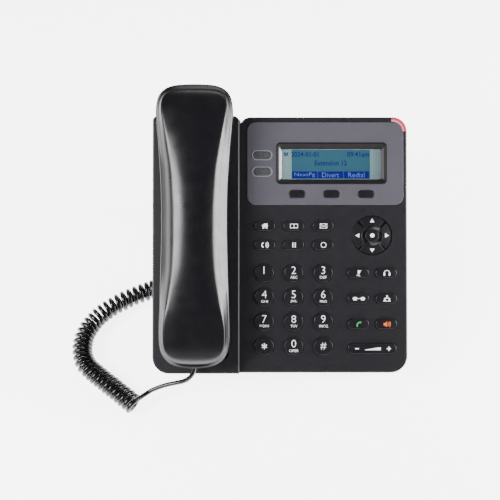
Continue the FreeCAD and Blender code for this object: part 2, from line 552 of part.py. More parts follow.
def plug_at(cx, y_tip, zc):
    """Four-way modular plug with its tail pointing down the slope."""
    p = block(cx - 3.8, cx + 3.8, y_tip - 11.5, y_tip, zc - 3.1, zc + 3.1)
    p = try_fillet(p, 0.5, lambda e: e.BoundBox.YLength > 11)
    tail = Part.makeCone(2.5, WIRE_D / 2 + 0.15, 3.2, V(cx, y_tip - 11.5, zc), V(0, -1, 0))
    clip = block(cx - 1.2, cx + 1.2, y_tip - 10.5, y_tip - 1.0, zc - 4.2, zc - 3.0)
    return p.fuse(tail).fuse(clip), y_tip - 14.7


HP, HP_TAIL = plug_at(HJ_X, 24.4, HJ_Z)
save("plug_handset", one(HP))
BP, BP_TAIL = plug_at(RJ9_X[0], 149.5, RJ9_ZC)
save("plug_base", one(BP))

# ---- handset cord -------------------------------------------------------------------
# Routes are in desk coordinates before the footprint shift.
COIL_PTS = [(-84, 97.5, 8.85), (-108, 87, 8.8), (-134, 76.5, 8.8), (-158, 60.5, 8.8), (-170.5, 38.5, 8.8),
            (-167.5, 15.5, 8.8), (-152, 2.5, 8.8), (-133, -11.5, 8.8), (-119.5, -22.3, 8.85)]


def routed(points):
    return [V(a, b + Y_SHIFT, c) for a, b, c in points]


def tube(points, d, name):
    """Straight runs joined by tangent arcs, swept with a round section."""
    p = points
    n = len(p)
    runs = [(p[i + 1] - p[i]).Length for i in range(n - 1)]
    edges = []
    cur = p[0]
    radii = []
    for i in range(1, n - 1):
        a = (p[i] - p[i - 1]).normalize()
        b = (p[i + 1] - p[i]).normalize()
        turn = math.acos(max(-1, min(1, a.dot(b))))
        tl = 0.45 * min(runs[i - 1], runs[i])
        r = tl / math.tan(turn / 2)
        radii.append(round(r, 1))
        s = p[i] - a * tl
        e = p[i] + b * tl
        bis = (b - a).normalize()
        c = p[i] + bis * (r / math.cos(turn / 2))
        m = c - bis * r
        if (s - cur).Length > 1e-6:
            edges.append(Part.LineSegment(cur, s).toShape())
        edges.append(Part.Arc(s, m, e).toShape())
        cur = e
    edges.append(Part.LineSegment(cur, p[-1]).toShape())
    path = Part.Wire(edges)
    circ = Part.Wire([Part.makeCircle(d / 2, p[0], (p[1] - p[0]))])
    sw = Part.BRepOffsetAPI.MakePipeShell(path)
    sw.setFrenetMode(True)
    sw.add(circ)
    sw.build()
    sw.makeSolid()
    s = sw.shape()
    area = math.pi * d * d / 4
    print("%s radii %s  runs %s" % (name, radii, [round(x, 1) for x in runs]))
    print("%s length %.1f volume %.1f against %.1f" % (name, path.Length, s.Volume, area * path.Length))
    return s


coil = tube(routed(COIL_PTS), COIL_D, "cord_coil")
save("cord_coil", coil, tilted=False)

ht = world(HJ_X, HP_TAIL, HJ_Z)
bt = world(RJ9_X[0], BP_TAIL, RJ9_ZC)
print("handset plug tail", ht.x, ht.y - Y_SHIFT, ht.z, " base plug tail", bt.x, bt.y - Y_SHIFT, bt.z)
dvec = V(0, -CT, -ST)
# the lead starts a little clear of the plug, which lifts away with the handset
ht = V(ht.x, ht.y - 0.8 * CT, ht.z - 0.8 * ST)
LEAD_H = [ht] + routed([(-69.9, -2.6, 36.6), (-72.6, -6.6, 32.2), (-77.8, -8.2, 27.4), (-85.3, -8.2, 23.2),
                        (-95.0, -8.6, 19.3), (-105.5, -10.0, 15.6), (-115.4, -15.6, 11.5)])
save("cord_lead_handset", tube(LEAD_H, WIRE_D, "cord_lead_handset"), tilted=False)
LEAD_B = [bt] + routed([(-62.2, 118.3, 75.3), (-62.3, 114.6, 69.5), (-62.4, 113.2, 61.0), (-62.6, 110.8, 50.0),
                        (-63.0, 108.2, 38.5), (-64.0, 105.2, 27.5), (-67.0, 101.5, 17.5), (-75.0, 98.6, 10.6), (-84.0, 97.5, 8.85)])
save("cord_lead_base", tube(LEAD_B, WIRE_D, "cord_lead_base"), tilted=False)

cord = ("cord_coil", "cord_lead_handset", "cord_lead_base", "plug_handset", "plug_base")
bb = FreeCAD.BoundBox()
for nm, s in OUT:
    if nm not in cord:
        bb.add(s.optimalBoundingBox(False, False))
print("box without cord", bb, "nodes", len(OUT))
print("origin offset needed x %.3f y %.3f z %.3f" % ((bb.XMin + bb.XMax) / 2, (bb.YMin + bb.YMax) / 2, bb.ZMin))
print("hinge points: handset", world(HANDSET_X, 118, 20), "rocker", world(ROCKER[0], ROCKER[1], SKIRT_TOP - 0.9), "hook", world(HOOK[0], HOOK[1], HOOK_TOP))
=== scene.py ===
import json, math
import bpy, bmesh
import numpy as np
from mathutils import Vector, Matrix


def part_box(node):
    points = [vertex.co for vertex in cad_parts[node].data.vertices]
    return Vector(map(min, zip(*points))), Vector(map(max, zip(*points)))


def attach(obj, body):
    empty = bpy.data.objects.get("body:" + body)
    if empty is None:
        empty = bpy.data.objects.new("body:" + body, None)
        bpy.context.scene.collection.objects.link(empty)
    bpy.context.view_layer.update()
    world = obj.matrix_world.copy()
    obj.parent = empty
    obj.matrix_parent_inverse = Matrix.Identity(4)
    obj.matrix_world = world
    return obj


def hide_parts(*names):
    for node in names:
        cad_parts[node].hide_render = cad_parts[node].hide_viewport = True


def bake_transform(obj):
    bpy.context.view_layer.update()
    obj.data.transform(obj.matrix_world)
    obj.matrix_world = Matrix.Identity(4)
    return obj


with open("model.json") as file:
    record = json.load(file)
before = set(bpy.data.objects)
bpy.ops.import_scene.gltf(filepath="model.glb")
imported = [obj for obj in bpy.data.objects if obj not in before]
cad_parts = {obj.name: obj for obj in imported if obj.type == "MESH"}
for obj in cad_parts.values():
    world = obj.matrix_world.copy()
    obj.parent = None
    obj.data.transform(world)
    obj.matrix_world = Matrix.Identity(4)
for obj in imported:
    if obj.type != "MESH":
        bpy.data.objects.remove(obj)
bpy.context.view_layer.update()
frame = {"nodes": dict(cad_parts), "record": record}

# ---------------------------------------------------------------- frame
# Face coordinates are millimetres: x right, y up the slope, z out of the face. The volume rocker's pin is at
# (75.2, 19.8, -3.9) in them, and that places the sloped face in the row frame.
TILT = math.radians(30.0)
CT, ST = math.cos(TILT), math.sin(TILT)
pin = [j for j in frame["record"]["behaviour"]["joints"] if j["name"] == "volume_rock"][0]["pos_m"]
Y0 = pin[1] * 1000 - (19.8 * CT + 3.9 * ST)
Z0 = pin[2] * 1000 - (19.8 * ST - 3.9 * CT)
MM = 0.001
HX = (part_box("handset_face_shell")[0][0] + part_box("handset_face_shell")[1][0]) * 500.0   # handset's centre line, mm


def W(x, y, z):
    """face-local millimetres to row-frame metres"""
    return Vector((x * MM, (Y0 + y * CT - z * ST) * MM, (Z0 + y * ST + z * CT) * MM))


def D(x, y, z):
    """desk millimetres (y before the footprint shift) to row-frame metres"""
    return Vector((x * MM, (y + Y0) * MM, z * MM))


# ---------------------------------------------------------------- mesh helpers
def add(name, verts, faces, mats, body=None, smooth=True, midx=None):
    me = bpy.data.meshes.new(name)
    me.from_pydata([tuple(v) for v in verts], [], faces)
    me.update()
    ob = bpy.data.objects.new(name, me)
    bpy.context.scene.collection.objects.link(ob)
    for m in (mats if isinstance(mats, (list, tuple)) else [mats]):
        me.materials.append(m)
    if midx is not None:
        for p, i in zip(me.polygons, midx):
            p.material_index = i
    for p in me.polygons:
        p.use_smooth = smooth
    if body:
        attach(ob, body)
    return ob


def tube(pts, r, sides=10, caps=True):
    """verts and faces of a tube that follows points, with a rotation-minimising frame"""
    P = np.array(pts, float)
    T = np.gradient(P, axis=0)
    T /= np.linalg.norm(T, axis=1)[:, None]
    n = np.cross(T[0], (0.0, 0.0, 1.0))
    if np.linalg.norm(n) < 1e-3:
        n = np.cross(T[0], (1.0, 0.0, 0.0))
    n /= np.linalg.norm(n)
    vs, fs = [], []
    for i in range(len(P)):
        n = n - T[i] * np.dot(n, T[i])
        n /= np.linalg.norm(n)
        b = np.cross(T[i], n)
        for k in range(sides):
            a = 2 * math.pi * k / sides
            vs.append(P[i] + r * (math.cos(a) * n + math.sin(a) * b))
    for i in range(len(P) - 1):
        for k in range(sides):
            k2 = (k + 1) % sides
            fs.append((i * sides + k, i * sides + k2, (i + 1) * sides + k2, (i + 1) * sides + k))
    if caps:
        fs.append(tuple(range(sides - 1, -1, -1)))
        fs.append(tuple((len(P) - 1) * sides + k for k in range(sides)))
    return vs, fs


def nurbs(points):
    """points read from one smooth NURBS line with these control points"""
    cu = bpy.data.curves.new("route", "CURVE")
    cu.dimensions = "3D"
    cu.resolution_u = 16
    sp = cu.splines.new("NURBS")
    sp.points.add(len(points) - 1)
    for q, p in zip(sp.points, points):
        q.co = (p[0], p[1], p[2], 1.0)
    sp.order_u = 3
    sp.use_endpoint_u = True
    ob = bpy.data.objects.new("route", cu)
    bpy.context.scene.collection.objects.link(ob)
    me = bpy.data.meshes.new_from_object(ob)
    out = [Vector(v.co) for v in me.vertices]
    bpy.data.objects.remove(ob)
    bpy.data.curves.remove(cu)
    bpy.data.meshes.remove(me)
    return out


# ---------------------------------------------------------------- materials
def srgb(r, g, b):
    f = lambda c: c / 12.92 if c <= 0.04045 else ((c + 0.055) / 1.055) ** 2.4
    return (f(r / 255.0), f(g / 255.0), f(b / 255.0), 1.0)


class Mat:
    """a node material on object coordinates, in metres"""

    def __init__(self, name):
        self.m = bpy.data.materials.new(name)
        self.m.use_nodes = True
        self.n = self.m.node_tree.nodes
        self.l = self.m.node_tree.links
        self.b = [x for x in self.n if x.type == "BSDF_PRINCIPLED"][0]
        self.tc = self.n.new("ShaderNodeTexCoord")

    def noise(self, scale, detail=2.0, rough=0.5, stretch=None):
        t = self.n.new("ShaderNodeTexNoise")
        t.inputs["Scale"].default_value = scale
        t.inputs["Detail"].default_value = detail
        t.inputs["Roughness"].default_value = rough
        src = self.tc.outputs["Object"]
        if stretch:
            mp = self.n.new("ShaderNodeMapping")
            mp.inputs["Scale"].default_value = stretch
            self.l.new(src, mp.inputs["Vector"])
            src = mp.outputs["Vector"]
        self.l.new(src, t.inputs["Vector"])
        return t.outputs["Fac"]

    def ramp(self, fac, stops, interp="LINEAR"):
        r = self.n.new("ShaderNodeValToRGB")
        r.color_ramp.interpolation = interp
        el = r.color_ramp.elements
        while len(el) < len(stops):
            el.new(0.5)
        for e, (p, c) in zip(el, stops):
            e.position = p
            e.color = c
        self.l.new(fac, r.inputs["Fac"])
        return r.outputs["Color"]

    def range(self, fac, lo, hi, a=0.3, b=0.7):
        r = self.n.new("ShaderNodeMapRange")
        r.inputs["From Min"].default_value = a
        r.inputs["From Max"].default_value = b
        r.inputs["To Min"].default_value = lo
        r.inputs["To Max"].default_value = hi
        self.l.new(fac, r.inputs["Value"])
        return r.outputs["Result"]

    def bump(self, fac, strength, dist):
        b = self.n.new("ShaderNodeBump")
        b.inputs["Strength"].default_value = strength
        b.inputs["Distance"].default_value = dist
        self.l.new(fac, b.inputs["Height"])
        self.l.new(b.outputs["Normal"], self.b.inputs["Normal"])

    def set(self, **kw):
        for k, v in kw.items():
            self.b.inputs[k.replace("_", " ")].default_value = v
        return self


def plastic(name, col, rough=(0.42, 0.52), grain=2600.0, bump=0.25, dist=0.00004, spread=0.10, spec=0.5, coat=0.0, cloud=38.0):
    """moulded plastic: slight colour drift, uneven gloss, spark-eroded grain"""
    k = Mat(name)
    c = srgb(*col)
    lo = tuple(x * (1 - spread) for x in c[:3]) + (1.0,)
    hi = tuple(min(1.0, x * (1 + spread)) for x in c[:3]) + (1.0,)
    k.l.new(k.ramp(k.noise(cloud, 4.0, 0.6), [(0.3, lo), (0.7, hi)]), k.b.inputs["Base Color"])
    k.l.new(k.range(k.noise(grain * 0.12, 3.0), rough[0], rough[1]), k.b.inputs["Roughness"])
    k.bump(k.noise(grain, 2.0, 0.6), bump, dist)
    k.set(IOR=1.46, Coat_Weight=coat, Coat_Roughness=0.08)
    k.b.inputs["Specular IOR Level"].default_value = spec
    return k.m


M_HOUSING = plastic("housing_charcoal", (13, 11, 18), (0.46, 0.58), 3000, 0.35, 0.00005)
M_REAR = plastic("rear_charcoal", (24, 22, 26), (0.52, 0.64), 2200, 0.45, 0.00006)
M_PANEL = plastic("fascia_grey", (77, 75, 83), (0.42, 0.52), 3200, 0.25, 0.00004, 0.05)
M_KEY = plastic("key_black", (20, 19, 23), (0.30, 0.40), 3400, 0.18, 0.00003)
M_LINE = plastic("line_key_smoke", (66, 68, 70), (0.20, 0.30), 3000, 0.15, 0.00003, 0.06)
M_BLACKGLOSS = plastic("handset_gloss_black", (13, 12, 16), (0.27, 0.33), 900, 0.02, 0.00001, 0.10, 0.5)
M_SHELL = plastic("handset_shell_black", (13, 12, 16), (0.28, 0.36), 900, 0.03, 0.00001, 0.10, 0.5)
M_CORD = plastic("cord_black_pvc", (11, 11, 13), (0.18, 0.26), 2500, 0.06, 0.00002, 0.12, 0.5)
M_PORT = plastic("port_black", (22, 22, 24), (0.38, 0.48), 2500, 0.2, 0.00003)
M_RUBBER = plastic("foot_rubber", (24, 24, 25), (0.70, 0.85), 1500, 0.6, 0.00008)
M_SILICONE = plastic("mat_silicone", (150, 152, 156), (0.50, 0.62), 1800, 0.2, 0.00004)
M_SPEAKER = plastic("speaker_black", (20, 20, 21), (0.6, 0.75), 1200, 0.6, 0.0001)
M_WHITE_PAINTED_GLOW = plastic("legend_white_painted_glow", (244, 244, 247), (0.40, 0.50), 2600, 0.05, 0.00001, 0.03)
# the white legends get a faint emission: a painted glow, since the keys have no light of their own
for _n in M_WHITE_PAINTED_GLOW.node_tree.nodes:
    if _n.type == "BSDF_PRINCIPLED":
        _n.inputs["Emission Color"].default_value = (1, 1, 1, 1)
        _n.inputs["Emission Strength"].default_value = 0.45
M_GREEN = plastic("legend_green", (60, 168, 84), (0.40, 0.50), 2600, 0.05, 0.00001, 0.05)
M_ORANGE = plastic("legend_orange", (232, 112, 44), (0.40, 0.50), 2600, 0.05, 0.00001, 0.05)
M_RIM = plastic("recess_rim", (6, 6, 7), (0.50, 0.60), 3000, 0.1, 0.00002, 0.1, 0.3)
M_HOLE = plastic("sound_hole_dark", (7, 7, 8), (0.7, 0.8), 2000, 0.1, 0.00002)
# light grey painted on the rims round the line keys as a highlight on their edges
M_RIM_PAINTED_HIGHLIGHT = plastic("edge_painted_highlight_grey", (112, 111, 118), (0.42, 0.52), 3200, 0.2, 0.00003, 0.05)

# screw steel, with turning marks
k = Mat("screw_steel")
k.l.new(k.ramp(k.noise(900, 3.0, 0.5), [(0.3, srgb(118, 118, 120)), (0.7, srgb(168, 168, 170))]), k.b.inputs["Base Color"])
k.l.new(k.range(k.noise(2600, 2.0), 0.28, 0.42), k.b.inputs["Roughness"])
k.bump(k.noise(4000, 1.0, 0.5, (1, 1, 0.1)), 0.2, 0.00002)
k.set(Metallic=1.0)
M_STEEL = k.m

# board: green solder mask with darker copper cloud
k = Mat("board_green")
k.l.new(k.ramp(k.noise(260, 2.0, 0.4), [(0.42, srgb(20, 78, 44)), (0.5, srgb(32, 104, 60)), (0.62, srgb(26, 90, 52))], "CONSTANT"), k.b.inputs["Base Color"])
k.l.new(k.range(k.noise(600, 2.0), 0.3, 0.45), k.b.inputs["Roughness"])
k.bump(k.noise(300, 2.0), 0.3, 0.00003)
M_BOARD = k.m

# message lamp: red polycarbonate outside, pink inner band where its light guide shows
k = Mat("lamp_red")
ctr = W(92.5, 198.5, 0)
mp = k.n.new("ShaderNodeMapping")
mp.vector_type = "TEXTURE"
mp.inputs["Location"].default_value = ctr
mp.inputs["Rotation"].default_value = (TILT, 0, 0)
k.l.new(k.tc.outputs["Object"], mp.inputs["Vector"])
flat = k.n.new("ShaderNodeVectorMath"); flat.operation = "MULTIPLY"
flat.inputs[1].default_value = (1, 1, 0)
k.l.new(mp.outputs["Vector"], flat.inputs[0])
ln = k.n.new("ShaderNodeVectorMath"); ln.operation = "LENGTH"
k.l.new(flat.outputs["Vector"], ln.inputs[0])
fac = k.range(ln.outputs["Value"], 0.0, 1.0, 0.0080, 0.0122)
k.l.new(k.ramp(fac, [(0.0, srgb(226, 150, 166)), (0.30, srgb(224, 132, 150)), (0.42, srgb(204, 56, 84)), (1.0, srgb(178, 34, 62))]), k.b.inputs["Base Color"])
k.l.new(k.range(k.noise(400, 2.0), 0.16, 0.24), k.b.inputs["Roughness"])
k.bump(k.noise(1500, 2.0), 0.08, 0.00002)
k.set(Coat_Weight=0.4, Coat_Roughness=0.05)
M_LAMP = k.m

# clear window and clear plug
k = Mat("window_clear")
k.l.new(k.ramp(k.noise(60, 3.0), [(0.3, srgb(150, 160, 162)), (0.7, srgb(160, 170, 172))]), k.b.inputs["Base Color"])
k.l.new(k.range(k.noise(900, 2.0), 0.05, 0.10), k.b.inputs["Roughness"])
k.bump(k.noise(300, 2.0), 0.05, 0.00002)
k.set(Coat_Weight=0.6, Coat_Roughness=0.04)
M_WINDOW = k.m
k = Mat("plug_smoke_clear")
k.l.new(k.ramp(k.noise(120, 3.0), [(0.3, srgb(74, 76, 80)), (0.7, srgb(96, 98, 102))]), k.b.inputs["Base Color"])
k.l.new(k.range(k.noise(900, 2.0), 0.12, 0.2), k.b.inputs["Roughness"])
k.bump(k.noise(700, 2.0), 0.06, 0.00002)
k.set(Coat_Weight=0.5, Coat_Roughness=0.05)
M_PLUG = k.m

SLOT_MATS = {
    "housing_plastic": M_HOUSING, "fascia_plastic": M_PANEL, "key_plastic": M_KEY, "line_key_plastic": M_LINE,
    "window": M_WINDOW, "lcd_glass": M_PORT, "lamp_red": M_LAMP, "silicone": M_SILICONE, "pcb_green": M_BOARD,
    "speaker_black": M_SPEAKER, "port_plastic": M_PORT, "foot_rubber": M_RUBBER, "screw_steel": M_STEEL,
    "cord_black": M_CORD, "plug_clear": M_PLUG, "handset_gloss": M_SHELL,
}


def paint(node, m):
    o = frame["nodes"][node]
    if not o.material_slots:
        o.data.materials.append(m)
    for s in o.material_slots:
        s.material = m


NODE_MATS = {
    "front_housing": M_HOUSING, "rear_cover": M_REAR, "stand": M_REAR, "display_panel": M_PANEL,
    "display_lens": M_WINDOW, "lcd_module": M_PORT, "message_lamp_lens": M_LAMP, "handset_back_shell": M_BLACKGLOSS,
    "handset_face_shell": M_SHELL, "cord_coil": M_CORD, "cord_lead_handset": M_CORD, "cord_lead_base": M_CORD,
    "plug_handset": M_PLUG, "plug_base": M_PLUG, "rubber_feet": M_RUBBER, "housing_screws": M_STEEL,
    "keypad_mat": M_SILICONE, "main_board": M_BOARD, "network_jacks": M_PORT, "modular_jacks": M_PORT,
    "loudspeaker": M_SPEAKER, "hook_plunger": M_PORT, "earpiece_capsule": M_SPEAKER, "handset_microphone": M_SPEAKER,
    "handset_jack": M_PORT, "key_line_1": M_LINE, "key_line_2": M_LINE,
}
for n in frame["nodes"]:
    paint(n, NODE_MATS.get(n, M_KEY))

# ---------------------------------------------------------------- camera, light, floor
scene = bpy.context.scene
cam_data = bpy.data.cameras.new("camera")
cam_data.sensor_width = 36.0
cam_data.lens = 48.2
cam_data.dof.use_dof = False
cam = bpy.data.objects.new("camera", cam_data)
cam.location = (-0.0249, (Y0 - 194.33) * MM, 0.54683)
cam.rotation_euler = (math.radians(30.8), 0, 0)
scene.collection.objects.link(cam)
scene.camera = cam


def area(name, loc, target, size, power, col=(1, 1, 1), size_y=None):
    d = bpy.data.lights.new(name, "AREA")
    d.energy = power
    d.color = col
    d.size = size
    if size_y:
        d.shape = "RECTANGLE"
        d.size_y = size_y
    o = bpy.data.objects.new(name, d)
    o.location = loc
    o.rotation_euler = (Vector(target) - Vector(loc)).to_track_quat("-Z", "Y").to_euler()
    scene.collection.objects.link(o)
    return o


area("strip_right", (0.98, -0.02, 0.30), (-0.05, 0.0, 0.08), 0.50, 30.0, (1, 0.99, 0.98), 0.62)
area("box_left", (-0.70, -0.24, 0.62), (-0.07, 0.02, 0.08), 0.30, 14.0, (1, 0.985, 1), 0.46)
area("top_soft", (0.10, 0.75, 0.85), (0, 0, 0.05), 0.7, 3.0, (1, 1, 1), 0.4)
world = bpy.data.worlds.new("world")
world.use_nodes = True
wn, wl = world.node_tree.nodes, world.node_tree.links
bg = [n for n in wn if n.type == "BACKGROUND"][0]
wt = wn.new("ShaderNodeTexCoord")
ws = wn.new("ShaderNodeSeparateXYZ")
wl.new(wt.outputs["Generated"], ws.inputs["Vector"])
wr = wn.new("ShaderNodeValToRGB")
wr.color_ramp.elements[0].position = 0.05
wr.color_ramp.elements[0].color = (0.6, 0.6, 0.61, 1)
wr.color_ramp.elements[1].position = 0.55
wr.color_ramp.elements[1].color = (0.16, 0.16, 0.17, 1)
wl.new(ws.outputs["Z"], wr.inputs["Fac"])
wl.new(wr.outputs["Color"], bg.inputs["Color"])
bg.inputs["Strength"].default_value = 0.7
scene.world = world

k = Mat("floor_white")
k.l.new(k.ramp(k.noise(6, 2.0), [(0.3, (0.86, 0.86, 0.86, 1)), (0.7, (0.88, 0.88, 0.88, 1))]), k.b.inputs["Base Color"])
k.set(Roughness=0.9, Emission_Color=(1, 1, 1, 1), Emission_Strength=5.0)
floor = add("floor", [(-3, -3, -0.0004), (3, -3, -0.0004), (3, 3, -0.0004), (-3, 3, -0.0004)], [(0, 1, 2, 3)], k.m, None, False)

# ---------------------------------------------------------------- handset cord
COIL = [D(*p) for p in [(-84, 97.5, 8.85), (-108, 87, 8.8), (-134, 76.5, 8.8), (-158, 60.5, 8.8), (-170.5, 38.5, 8.8),
                        (-167.5, 15.5, 8.8), (-152, 2.5, 8.8), (-133, -11.5, 8.8), (-119.5, -22.3, 8.85)]]
axis = nurbs(COIL)
seg = [0.0]
for a, b in zip(axis, axis[1:]):
    seg.append(seg[-1] + (b - a).length)
seg = np.array(seg)
AX = np.array([tuple(p) for p in axis])
total = seg[-1]


def axis_at(s):
    s = min(max(s, 0.0), total)
    p = np.array([np.interp(s, seg, AX[:, i]) for i in range(3)])
    h = 0.0015
    q1 = np.array([np.interp(min(s + h, total), seg, AX[:, i]) for i in range(3)])
    q0 = np.array([np.interp(max(s - h, 0.0), seg, AX[:, i]) for i in range(3)])
    t = q1 - q0
    return p, t / np.linalg.norm(t)


WIRE = 0.0038
RH = 0.00680
PER = 22
end_angle = math.radians(62.0)
# pitch along the coil: wound closer under the base, looser where it comes out, close again after
S_K = np.array([0.0, 0.030, 0.044, 0.070, 0.100, 0.150, total * 1000]) / 1000.0
s_knots = np.array([0.0, 0.030, 0.040, 0.066, 0.090, 0.140, total])
p_knots = np.array([0.0046, 0.0046, 0.0056, 0.0056, 0.0046, 0.0045, 0.0046])
helix = []
s, turns = 0.0, 0.0
dense_s = np.linspace(0, total, 4000)
rate = 1.0 / np.interp(dense_s, s_knots, p_knots)
phase = np.concatenate([[0], np.cumsum((rate[1:] + rate[:-1]) / 2 * np.diff(dense_s))])
n_turn = phase[-1]
n_pts = int(round(n_turn * PER))
for i in range(n_pts + 1):
    ph = n_turn * i / n_pts
    s = float(np.interp(ph, phase, dense_s))
    c, t = axis_at(s)
    up = np.array((0.0, 0.0, 1.0))
    nn = np.cross(up, t)
    nn /= np.linalg.norm(nn)
    bb = np.cross(t, nn)
    th = end_angle + 2 * math.pi * (n_turn - ph)
    w = min(1.0, ph / 0.8)
    w = w * w * (3 - 2 * w)
    r = RH * (0.02 + 0.98 * w) * (1.0 + 0.012 * math.sin(ph * 1.7))
    helix.append(Vector(c + r * (math.cos(th) * nn + math.sin(th) * bb)))

tail_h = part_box("plug_handset")[0]
E = helix[-1]
c_end, t_end = axis_at(total)
leave = (helix[-1] - helix[-2]).normalized()
HT = D(HX, 2.2, 39.59)
lead_h = nurbs([E, E + leave * 0.0065, E + leave * 0.0105 + Vector((0.0015, 0.0005, 0.0009)), D(-105.5, -10.6, 13.6), D(-95, -8.6, 19.0),
                D(-85.3, -8.2, 23.2), D(-77.8, -8.2, 27.4), D(-72.6, -6.6, 32.2), D(-69.6, -2.6, 36.6), HT])
lead_b = nurbs([D(-62, 123.89, 79.02), D(-62.2, 118.3, 75.3), D(-62.3, 114.6, 69.5), D(-62.4, 113.2, 61.0), D(-62.6, 110.8, 50.0),
                D(-63, 108.2, 38.5), D(-64, 105.2, 27.5), D(-67, 101.5, 17.5), D(-75, 98.6, 10.6), helix[0]])
route = lead_b[:-1] + helix + lead_h[1:]
clean = [route[0]]
for p in route[1:]:
    if (p - clean[-1]).length > 0.0003:
        clean.append(p)
if (route[-1] - clean[-1]).length > 1e-6:
    clean.append(route[-1])
vs, fs = tube(clean, WIRE / 2, 12)
cord = add("handset_cord", vs, fs, M_CORD, None, True)
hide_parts("cord_coil", "cord_lead_handset", "cord_lead_base")
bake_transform(cord)

# ---------------------------------------------------------------- handset upper shell
PLAN = [(7.4, 6.0), (8.6, 14.0), (12.4, 21.5), (20.0, 26.5), (32.0, 28.0), (60.0, 27.4), (90.0, 26.6), (120.0, 26.1),
        (150.0, 26.5), (180.0, 28.3), (200.0, 30.0), (215.2, 30.3), (224.3, 27.3), (229.5, 20.6), (231.5, 10.2)]
YY = np.linspace(0, 240, 961)


def table(pairs, sigma):
    ys = [p[0] for p in pairs]
    zs = [p[1] for p in pairs]
    v = np.interp(YY, ys, zs)
    n = int(sigma * 4 * 3)
    kx = np.arange(-n, n + 1) / 4.0
    g = np.exp(-0.5 * (kx / sigma) ** 2)
    g /= g.sum()
    v = np.convolve(np.pad(v, n, mode="edge"), g, mode="valid")
    return lambda y: np.interp(y, YY, v)


T_TOP = table([(0, 16.5), (6.5, 20.6), (12, 25.2), (24, 29.5), (50, 33.1), (85, 35.4), (120, 36.0), (155, 35.4), (190, 33.5), (211, 31.0),
               (224, 27.6), (232.8, 22.8), (240, 18.5)], 2.2)
H_OUT = table([(0, 27.7), (20, 27.8), (32, 28), (60, 27.4), (90, 26.6), (120, 26.1), (150, 26.5), (180, 28.3), (200, 30.0), (215, 30.3), (240, 30.3)], 3.0)
H_UP = table([(0, 26.0), (22, 26.2), (46, 25.8), (61.5, 24.6), (69, 23.4), (85, 21.6), (100, 21.2), (131, 21.2), (147, 21.6), (162.7, 22.5),
              (170.5, 23.3), (178, 24.5), (186, 25.5), (197, 26.6), (213, 28.0), (240, 28.0)], 3.5)
H_FLAT = table([(0, 23.6), (22, 24.0), (38, 24.2), (46, 23.2), (53.7, 21.1), (61.5, 19.4), (69, 18.2), (77, 17.0), (85, 16.2), (92.6, 15.8),
                (108, 15.2), (124, 15.2), (139, 15.8), (155, 16.6), (162.7, 17.4), (170.5, 18.4), (178, 19.7), (186, 20.9), (194, 22.6),
                (201.7, 24.2), (209, 25.2), (217, 25.6), (240, 25.6)], 3.0)
G_SEAM = table([(0, 0.0), (16, 0.05), (40, 0.5), (70, 0.7), (180, 0.7), (205, 0.3), (222, 0.0), (240, 0.0)], 5.0)
CROWN = table([(0, 1.2), (30, 1.6), (60, 2.4), (90, 3.0), (150, 3.0), (185, 2.4), (205, 1.6), (240, 1.2)], 5.0)


def outline(n):
    right = [(w_, y_) for y_, w_ in PLAN]
    left = [(-w_, y_) for w_, y_ in reversed(right)]
    p = np.array(right + left, float)
    m = len(p)
    out = []
    for i in range(m):
        p0, p1, p2, p3 = p[(i - 1) % m], p[i], p[(i + 1) % m], p[(i + 2) % m]
        for t in np.linspace(0, 1, 24, endpoint=False):
            out.append(0.5 * ((2 * p1) + (-p0 + p2) * t + (2 * p0 - 5 * p1 + 4 * p2 - p3) * t * t + (-p0 + 3 * p1 - 3 * p2 + p3) * t ** 3))
    out = np.array(out)
    d = np.linalg.norm(np.roll(out, -1, axis=0) - out, axis=1)
    s = np.concatenate([[0], np.cumsum(d)])
    q = np.linspace(0, s[-1], n, endpoint=False)
    c = np.vstack([out, out[:1]])
    return np.column_stack([np.interp(q, s, c[:, 0]), np.interp(q, s, c[:, 1])])


NL = 264
OUT = outline(NL)
tan = np.roll(OUT, -1, axis=0) - np.roll(OUT, 1, axis=0)
tan /= np.linalg.norm(tan, axis=1)[:, None]
NIN = np.column_stack([-tan[:, 1], tan[:, 0]])
if np.mean(np.sum(NIN * (np.array([0, 118.0]) - OUT), axis=1)) < 0:
    NIN = -NIN


def inset(d_of_y):
    """outline pulled in by a distance that depends on the station"""
    d = np.array([d_of_y(y) for y in OUT[:, 1]])
    return OUT + NIN * d[:, None]


def smooth_loop(p, k=2):
    for _ in range(k):
        p = (np.roll(p, 1, axis=0) + 2 * p + np.roll(p, -1, axis=0)) / 4
    return p


def f_end(y):
    return float(np.clip((T_TOP(y) - 21.9) / 14.1, 0.06, 1.0))


d_up = lambda y: float(H_OUT(y) - H_UP(y))
d_fl = lambda y: float(H_OUT(y) - H_FLAT(y))
loops = []


def ring_at(dfun, zfun):
    p = smooth_loop(inset(dfun), 2)
    loops.append([(x, y, zfun(x, y)) for x, y in p])


lvl = lambda Z: (lambda x, y: 22.05 + f_end(y) * (Z - 22.0))
seam = lambda Z, flush: (lambda x, y: 22.05 + f_end(y) * (flush + (Z - flush) * float(G_SEAM(y)) - 22.0))
ring_at(lambda y: 0.20, lambda x, y: 22.05)
ring_at(lambda y: 0.20, lvl(22.6))
ring_at(lambda y: 0.42, lvl(23.2))
ring_at(lambda y: 0.90, lvl(23.5))
ring_at(lambda y: 0.95 + 0.5 * max(0.0, d_up(y) - 2.0), lvl(25.0))
ring_at(lambda y: d_up(y) - 0.70, lvl(26.5))
ring_at(lambda y: d_up(y) - 0.10, lvl(27.1))
ring_at(lambda y: d_up(y) + 0.55, lvl(27.9))


def shoulder(u, bulge):
    def dd(y):
        a, b = d_up(y) + 0.55, d_fl(y) + 0.2
        return a + (b - a) * u
    def zz(x, y):
        top = float(T_TOP(y) - CROWN(y))
        low = 22.05 + f_end(y) * 5.8
        return low + (top - low) * (u ** 0.92) + bulge * f_end(y) * math.sin(math.pi * u)
    ring_at(dd, zz)


for u in (0.16, 0.34, 0.52, 0.70, 0.84, 0.94):
    shoulder(u, 0.55)


